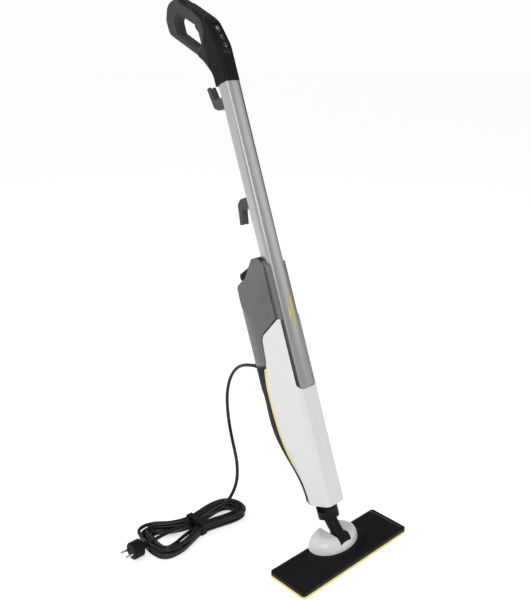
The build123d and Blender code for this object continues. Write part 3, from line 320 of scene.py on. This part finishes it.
def satinTube():  # extruded aluminium: fine lines along the tube under a satin anodised skin
    material = bpy.data.materials.new("satinTube")
    material.use_nodes = True
    tree = material.node_tree
    link = tree.links.new
    shader = tree.nodes["Principled BSDF"]
    shader.inputs["Metallic"].default_value = 1.0
    coord = tree.nodes.new("ShaderNodeTexCoord")
    turn = tree.nodes.new("ShaderNodeMapping")
    turn.inputs["Rotation"].default_value = (math.radians(lean["degrees"]), 0, 0)
    stretch = tree.nodes.new("ShaderNodeMapping")
    stretch.inputs["Scale"].default_value = (tubeFinish["brushAcross"], tubeFinish["brushAcross"],
                                             tubeFinish["brushAlong"])
    lines = tree.nodes.new("ShaderNodeTexNoise")
    lines.inputs["Scale"].default_value = 1.0
    lines.inputs["Detail"].default_value = 3.0
    bump = tree.nodes.new("ShaderNodeBump")
    bump.inputs["Strength"].default_value = 0.10
    bump.inputs["Distance"].default_value = 0.0002
    spread = tree.nodes.new("ShaderNodeMapRange")
    spread.inputs["To Min"].default_value = tubeFinish["rough"] - 0.06
    spread.inputs["To Max"].default_value = tubeFinish["rough"] + 0.08
    shade = placeGroup(tree, "shade", Colour=(*tubeFinish["colour"], 1), Drift=0.05, Size=9.0)
    link(coord.outputs["Object"], turn.inputs["Vector"])
    link(turn.outputs[0], stretch.inputs["Vector"])
    link(stretch.outputs[0], lines.inputs["Vector"])
    link(lines.outputs[0], bump.inputs["Height"])
    link(lines.outputs[0], spread.inputs["Value"])
    link(bump.outputs["Normal"], shader.inputs["Normal"])
    link(spread.outputs["Result"], shader.inputs["Roughness"])
    link(shade.outputs["Colour"], shader.inputs["Base Color"])
    return material


tankFinish = {"colour": (0.23, 0.235, 0.245), "clear": 0.55, "rough": 0.12}


def smokedTank():
    material = bpy.data.materials.new("smokedTank")
    material.use_nodes = True
    tree = material.node_tree
    shader = tree.nodes["Principled BSDF"]
    shader.inputs["Transmission Weight"].default_value = tankFinish["clear"]
    shader.inputs["IOR"].default_value = 1.49
    shade = placeGroup(tree, "shade", Colour=(*tankFinish["colour"], 1), Drift=0.05)
    rough = placeGroup(tree, "handling", Base=tankFinish["rough"], Spread=0.08, Size=40.0)
    grain = placeGroup(tree, "grain", Size=400.0, Depth=0.02, Wave=0.02)
    tree.links.new(shade.outputs["Colour"], shader.inputs["Base Color"])
    tree.links.new(rough.outputs["Roughness"], shader.inputs["Roughness"])
    tree.links.new(grain.outputs["Normal"], shader.inputs["Normal"])
    return material


materials = {name: plainFinish(name) for name in finishes}
materials["satinTube"] = satinTube()
materials["smokedTank"] = smokedTank()
print("materials made", len(materials))

nodeFinish = {
    "paleYellow": ["base_plate", "trim_band"],
    "accentYellow": ["badge"],
    "headCover": ["head_cover"],
    "blackCover": ["neck_knuckle", "collar", "rear_cover", "tank_latch", "tank_valve"],
    "whiteShell": ["saddle_cover", "front_shell"],
    "handleShell": ["handle_left", "handle_right", "trigger"],
    "softGrip": ["grip_loop"],
    "hookPlastic": ["hook_pads", "hook_upper", "hook_lower"],
    "spineGrey": ["spine"],
    "satinTube": ["tube"],
    "smokedTank": ["tank"],
    "blackRubber": ["head_seal", "valve_seal", "cord_guard", "plug_body"],
    "tieRubber": ["cord_tie"],
    "cordSheath": ["cord_tube", "cord_hank"],
    "platedPin": ["plug_pins"],
    "platedSteel": ["head_screws", "head_axle", "shell_screws", "latch_pin", "thermostats", "trigger_pin",
                    "trigger_spring"],
    "darkScrew": ["swivel_pin", "hook_screws", "handle_screws"],
    "hookPile": ["pad_strips"],
    "innerGrey": ["steam_distributor", "axle_bushes", "tank_socket", "pump", "board_carrier"],
    "castMetal": ["boiler"],
    "siliconeHose": ["feed_hose", "pressure_hose", "steam_hose"],
    "boardGreen": ["control_board", "handle_board"],
    "glossBlack": ["keypad_bezel", "micro_switch"],
    "keyGrey": ["button_top", "button_middle", "button_low"],
}

for finish, names in nodeFinish.items():
    for name in names:
        data = nodes[name].data
        data.materials.clear()
        data.materials.append(materials[finish])

# cord

cord = {
    "diameter": 0.0076,
    "length": 5.0,
    "exit": (0.0, 0.2572, 0.3384),
    "route": [  # from inside the guard to the tie, as in the tube
        (0, 232.2, 341.3), (0, 292, 334.5), (0, 337, 302), (-1, 358, 247), (-4, 352, 186),
        (-9, 332, 134), (-17, 305, 90), (-38, 281, 57), (-72, 267, 34), (-104, 261, 31), (-136, 262, 28),
    ],
    "turns": 8,
    "columns": 3,            # strands side by side before the next layer
    "tieHalf": 19.2,         # half the bundle's spread inside the tie
    "floorGap": 6.1,         # first layer's centre above the floor
    "crossFrom": 10,         # loop point where a turn starts to move over to the next one's place
    "middle": 265.6,
    "loop": [  # one outer turn: x, y and the lobe that the point belongs to
        (-168, 285, "waist"), (-206, 303, "left"), (-240, 330, "left"),
        (-272, 330, "left"), (-282, 300, "left"),
        (-284, 258, "left"), (-276, 228, "left"), (-240, 222, "left"),
        (-206, 230, "left"), (-168, 246, "waist"),
        (-124, 236, "right"), (-84, 226, "right"), (-56, 232, "right"),
        (-50, 264, "right"), (-68, 292, "right"),
        (-112, 297, "right"),
    ],
    "leftLobe": (-232, 280),
    "rightLobe": (-94, 262),
    "step": {"left": 10.5, "right": 8.0, "waist": 7.6},
    "drift": {"left": 4.5, "right": 1.6, "waist": 0.0},
    "level": 7.7,
    "tail": [(-200, 272, 20), (-226, 276, 20.5), (-256, 277, 19.5), (-287.6, 277, 18.4)],
}


def turnPlace(turn):  # how far in and how high a turn lies: columns fill to and fro, layer by layer
    layer = turn // cord["columns"]
    column = turn % cord["columns"]
    if layer % 2:
        column = cord["columns"] - 1 - column
    return column, layer


def hankPoints():
    points = []
    for turn in range(cord["turns"]):
        hereColumn, hereLayer = turnPlace(turn)
        nextColumn, nextLayer = turnPlace(turn + 1)
        for index, (x, y, zone) in enumerate(cord["loop"]):
            share = min(max((index - cord["crossFrom"]) / 5.0, 0.0), 1.0)  # it moves over on the right lobe
            column = hereColumn + (nextColumn - hereColumn) * share
            layer = hereLayer + (nextLayer - hereLayer) * share
            wander = math.sin(2.4 * turn + 0.9 * index) * cord["drift"][zone]
            inward = column * cord["step"][zone] + wander
            if zone == "waist":
                side = 1 if y > cord["middle"] else -1
                px, py = x, cord["middle"] + side * (cord["tieHalf"] - inward)
            else:
                centre = Vector(cord["leftLobe"] if zone == "left" else cord["rightLobe"])
                away = Vector((x, y)) - centre
                away = away * max(0.1, 1 - inward / away.length)
                px, py = centre.x + away.x, centre.y + away.y
            height = cord["floorGap"] + layer * cord["level"]
            if zone == "left":
                height -= 1.2 * layer + 1.6
            points.append((px, py, height))
    return points


def makeCord():
    points = [tuple(p) for p in cord["route"]]
    points += hankPoints()
    points += cord["tail"]
    curve = bpy.data.curves.new("mainsCord", "CURVE")
    curve.dimensions = "3D"
    spline = curve.splines.new("NURBS")
    spline.points.add(len(points) - 1)
    for slot, place in zip(spline.points, points):
        slot.co = (place[0] / 1000, place[1] / 1000, place[2] / 1000, 1.0)
    spline.order_u = 3
    spline.use_endpoint_u = True
    spline.resolution_u = 5
    curve.bevel_depth = cord["diameter"] / 2
    curve.bevel_resolution = 3
    curve.use_fill_caps = True
    piece = bpy.data.objects.new("mainsCord", curve)
    bpy.context.scene.collection.objects.link(piece)
    curve.materials.append(materials["cordSheath"])
    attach(piece, "unit")
    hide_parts("cord_tube", "cord_hank")
    return piece


makeCord()
print("cord made")

# pieces with more detail than the frame's own


def finishPiece(name, mesh, body, finish):
    obj = bpy.data.objects.new(name, mesh)
    bpy.context.scene.collection.objects.link(obj)
    mesh.materials.clear()
    mesh.materials.append(materials[finish])
    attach(obj, body)
    return obj


tubeArris = {"radius": 0.0022, "segments": 4, "front": -0.0105, "half": 0.017}


def makeTubeShell():  # the tube with its two front arrises rounded, as an extrusion has them
    shell = bmesh.new()
    shell.from_mesh(nodes["tube"].data)
    bmesh.ops.remove_doubles(shell, verts=shell.verts, dist=1e-6)
    back = uprightMatrix().inverted()
    picked = []
    for edge in shell.edges:
        a, b = back @ edge.verts[0].co, back @ edge.verts[1].co
        onArris = all(abs(abs(p.x) - tubeArris["half"]) < 1e-4 and abs(p.y - tubeArris["front"]) < 1e-4
                      for p in (a, b))
        if onArris and abs(a.z - b.z) > 1e-4:
            picked.append(edge)
    bmesh.ops.bevel(shell, geom=picked, offset=tubeArris["radius"], offset_type="OFFSET",
                    segments=tubeArris["segments"], profile=0.5, affect="EDGES", material=-1)
    mesh = bpy.data.meshes.new("tubeShell")
    shell.to_mesh(mesh)
    shell.free()
    for face in mesh.polygons:
        face.use_smooth = True
    mesh.set_sharp_from_angle(angle=math.radians(28))
    piece = finishPiece("tubeShell", mesh, "unit", "satinTube")
    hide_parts("tube")
    print("tube arrises rounded", len(picked), "edges")


makeTubeShell()

keypadEnd = {"half": 7.4, "beside": 7.9, "from": 1066.0, "to": 1079.0, "steps": 13, "sunk": 0.05, "thick": 2.0}


def makeKeypadEnd():  # closes the handle's front above the keys, following the surface beside it
    verts, faces = [], []
    for name in ("handle_left", "handle_right"):
        data = nodes[name].data
        first = len(verts)
        verts += [v.co.copy() for v in data.vertices]
        faces += [[first + i for i in poly.vertices] for poly in data.polygons]
    tree = BVHTree.FromPolygons(verts, faces)
    turn = uprightMatrix().to_3x3()
    ahead = turn @ Vector((0, 1, 0))
    block = bmesh.new()
    edge = []
    for i in range(keypadEnd["steps"] + 1):
        s = keypadEnd["from"] + (keypadEnd["to"] - keypadEnd["from"]) * i / keypadEnd["steps"]
        depths = []
        for side in (-1, 1):
            start = upright(side * keypadEnd["beside"], -60, s)
            hit = tree.ray_cast(start, ahead, 0.12)
            if hit[0] is not None:
                depths.append(hit[3] * 1000 - 60)
        if depths:
            edge.append(block.verts.new(upright(-keypadEnd["half"], min(depths) + keypadEnd["sunk"], s)))
    print("keypad end follows", len(edge), "points")
    lines = [block.edges.new((a, b)) for a, b in zip(edge, edge[1:])]
    wide = bmesh.ops.extrude_edge_only(block, edges=lines)
    moved = [g for g in wide["geom"] if isinstance(g, bmesh.types.BMVert)]
    bmesh.ops.translate(block, verts=moved, vec=(2 * keypadEnd["half"] / 1000, 0, 0))
    deep = bmesh.ops.extrude_face_region(block, geom=block.faces[:], use_keep_orig=True)
    moved = [g for g in deep["geom"] if isinstance(g, bmesh.types.BMVert)]
    bmesh.ops.translate(block, verts=moved, vec=ahead * keypadEnd["thick"] / 1000)
    bmesh.ops.recalc_face_normals(block, faces=block.faces)
    mesh = bpy.data.meshes.new("keypadEnd")
    block.to_mesh(mesh)
    block.free()
    finishPiece("keypadEnd", mesh, "unit", "handleShell")


makeKeypadEnd()

keyMarks = {"ring": 0.0033, "wire": 0.00032, "lift": 0.0001}


def makeKeyMarks():  # a plain ring and a short bar on the top key, a dot on the others
    for index, name in enumerate(("button_top", "button_middle", "button_low")):
        verts = [v.co.copy() for v in nodes[name].data.vertices]
        facing = uprightMatrix().to_3x3() @ Vector((0, -1, 0))
        normals = {}
        for poly in nodes[name].data.polygons:
            if poly.normal.dot(facing) > 0.8:
                key = tuple(round(c, 2) for c in poly.normal)
                normals[key] = normals.get(key, 0) + poly.area
        if not normals:
            continue
        normal = Vector(max(normals, key=normals.get)).normalized()
        reach = max(v.dot(normal) for v in verts)
        top = [v for v in verts if v.dot(normal) > reach - 2e-5]
        centre = sum(top, Vector()) / len(top)
        place = Matrix.Translation(centre) @ normal.to_track_quat("Z", "Y").to_matrix().to_4x4()
        mark = bmesh.new()
        if index == 0:
            made = bmesh.ops.create_circle(mark, segments=10, radius=keyMarks["wire"], cap_ends=False)
            bmesh.ops.rotate(mark, verts=made["verts"],
                            cent=(0, 0, 0), matrix=Matrix.Rotation(math.pi / 2, 3, "X"))
            bmesh.ops.translate(mark, verts=made["verts"], vec=(keyMarks["ring"], 0, 0))
            bmesh.ops.spin(mark, geom=mark.edges[:] + mark.verts[:], cent=(0, 0, 0), axis=(0, 0, 1),
                           angle=2 * math.pi, steps=40, use_merge=True)
            bar = bmesh.ops.create_uvsphere(mark, u_segments=12, v_segments=8, radius=0.0011)
            bmesh.ops.scale(mark, verts=bar["verts"], vec=(0.8, 1.5, 0.25))
        else:
            dot = bmesh.ops.create_uvsphere(mark, u_segments=16, v_segments=8, radius=0.0011)
            bmesh.ops.scale(mark, verts=dot["verts"], vec=(1, 1, 0.22))
        bmesh.ops.remove_doubles(mark, verts=mark.verts, dist=1e-6)
        bmesh.ops.recalc_face_normals(mark, faces=mark.faces)
        bmesh.ops.transform(mark, matrix=place, verts=mark.verts)
        mesh = bpy.data.meshes.new(name + "_mark")
        mark.to_mesh(mesh)
        mark.free()
        for face in mesh.polygons:
            face.use_smooth = True
        finishPiece(name + "_mark", mesh, name, "keyMark")


makeKeyMarks()
print("key marks made")

# floor


def makeFloor():
    floor = bmesh.new()
    half = studio["floorSize"] / 2
    bmesh.ops.create_grid(floor, x_segments=8, y_segments=8, size=half)
    mesh = bpy.data.meshes.new("studioFloor")
    floor.to_mesh(mesh)
    floor.free()
    obj = bpy.data.objects.new("studioFloor", mesh)
    bpy.context.scene.collection.objects.link(obj)
    material = bpy.data.materials.new("studioFloor")
    material.use_nodes = True
    tree = material.node_tree
    shader = tree.nodes["Principled BSDF"]
    shade = placeGroup(tree, "shade", Colour=studio["floorColour"], Drift=0.01, Size=1.5)
    tree.links.new(shade.outputs["Colour"], shader.inputs["Base Color"])
    shader.inputs["Roughness"].default_value = 0.75
    shader.inputs["Specular IOR Level"].default_value = 0.1
    shader.inputs["Emission Color"].default_value = (1, 1, 1, 1)
    shader.inputs["Emission Strength"].default_value = studio["floorGlow"]
    mesh.materials.append(material)


makeFloor()
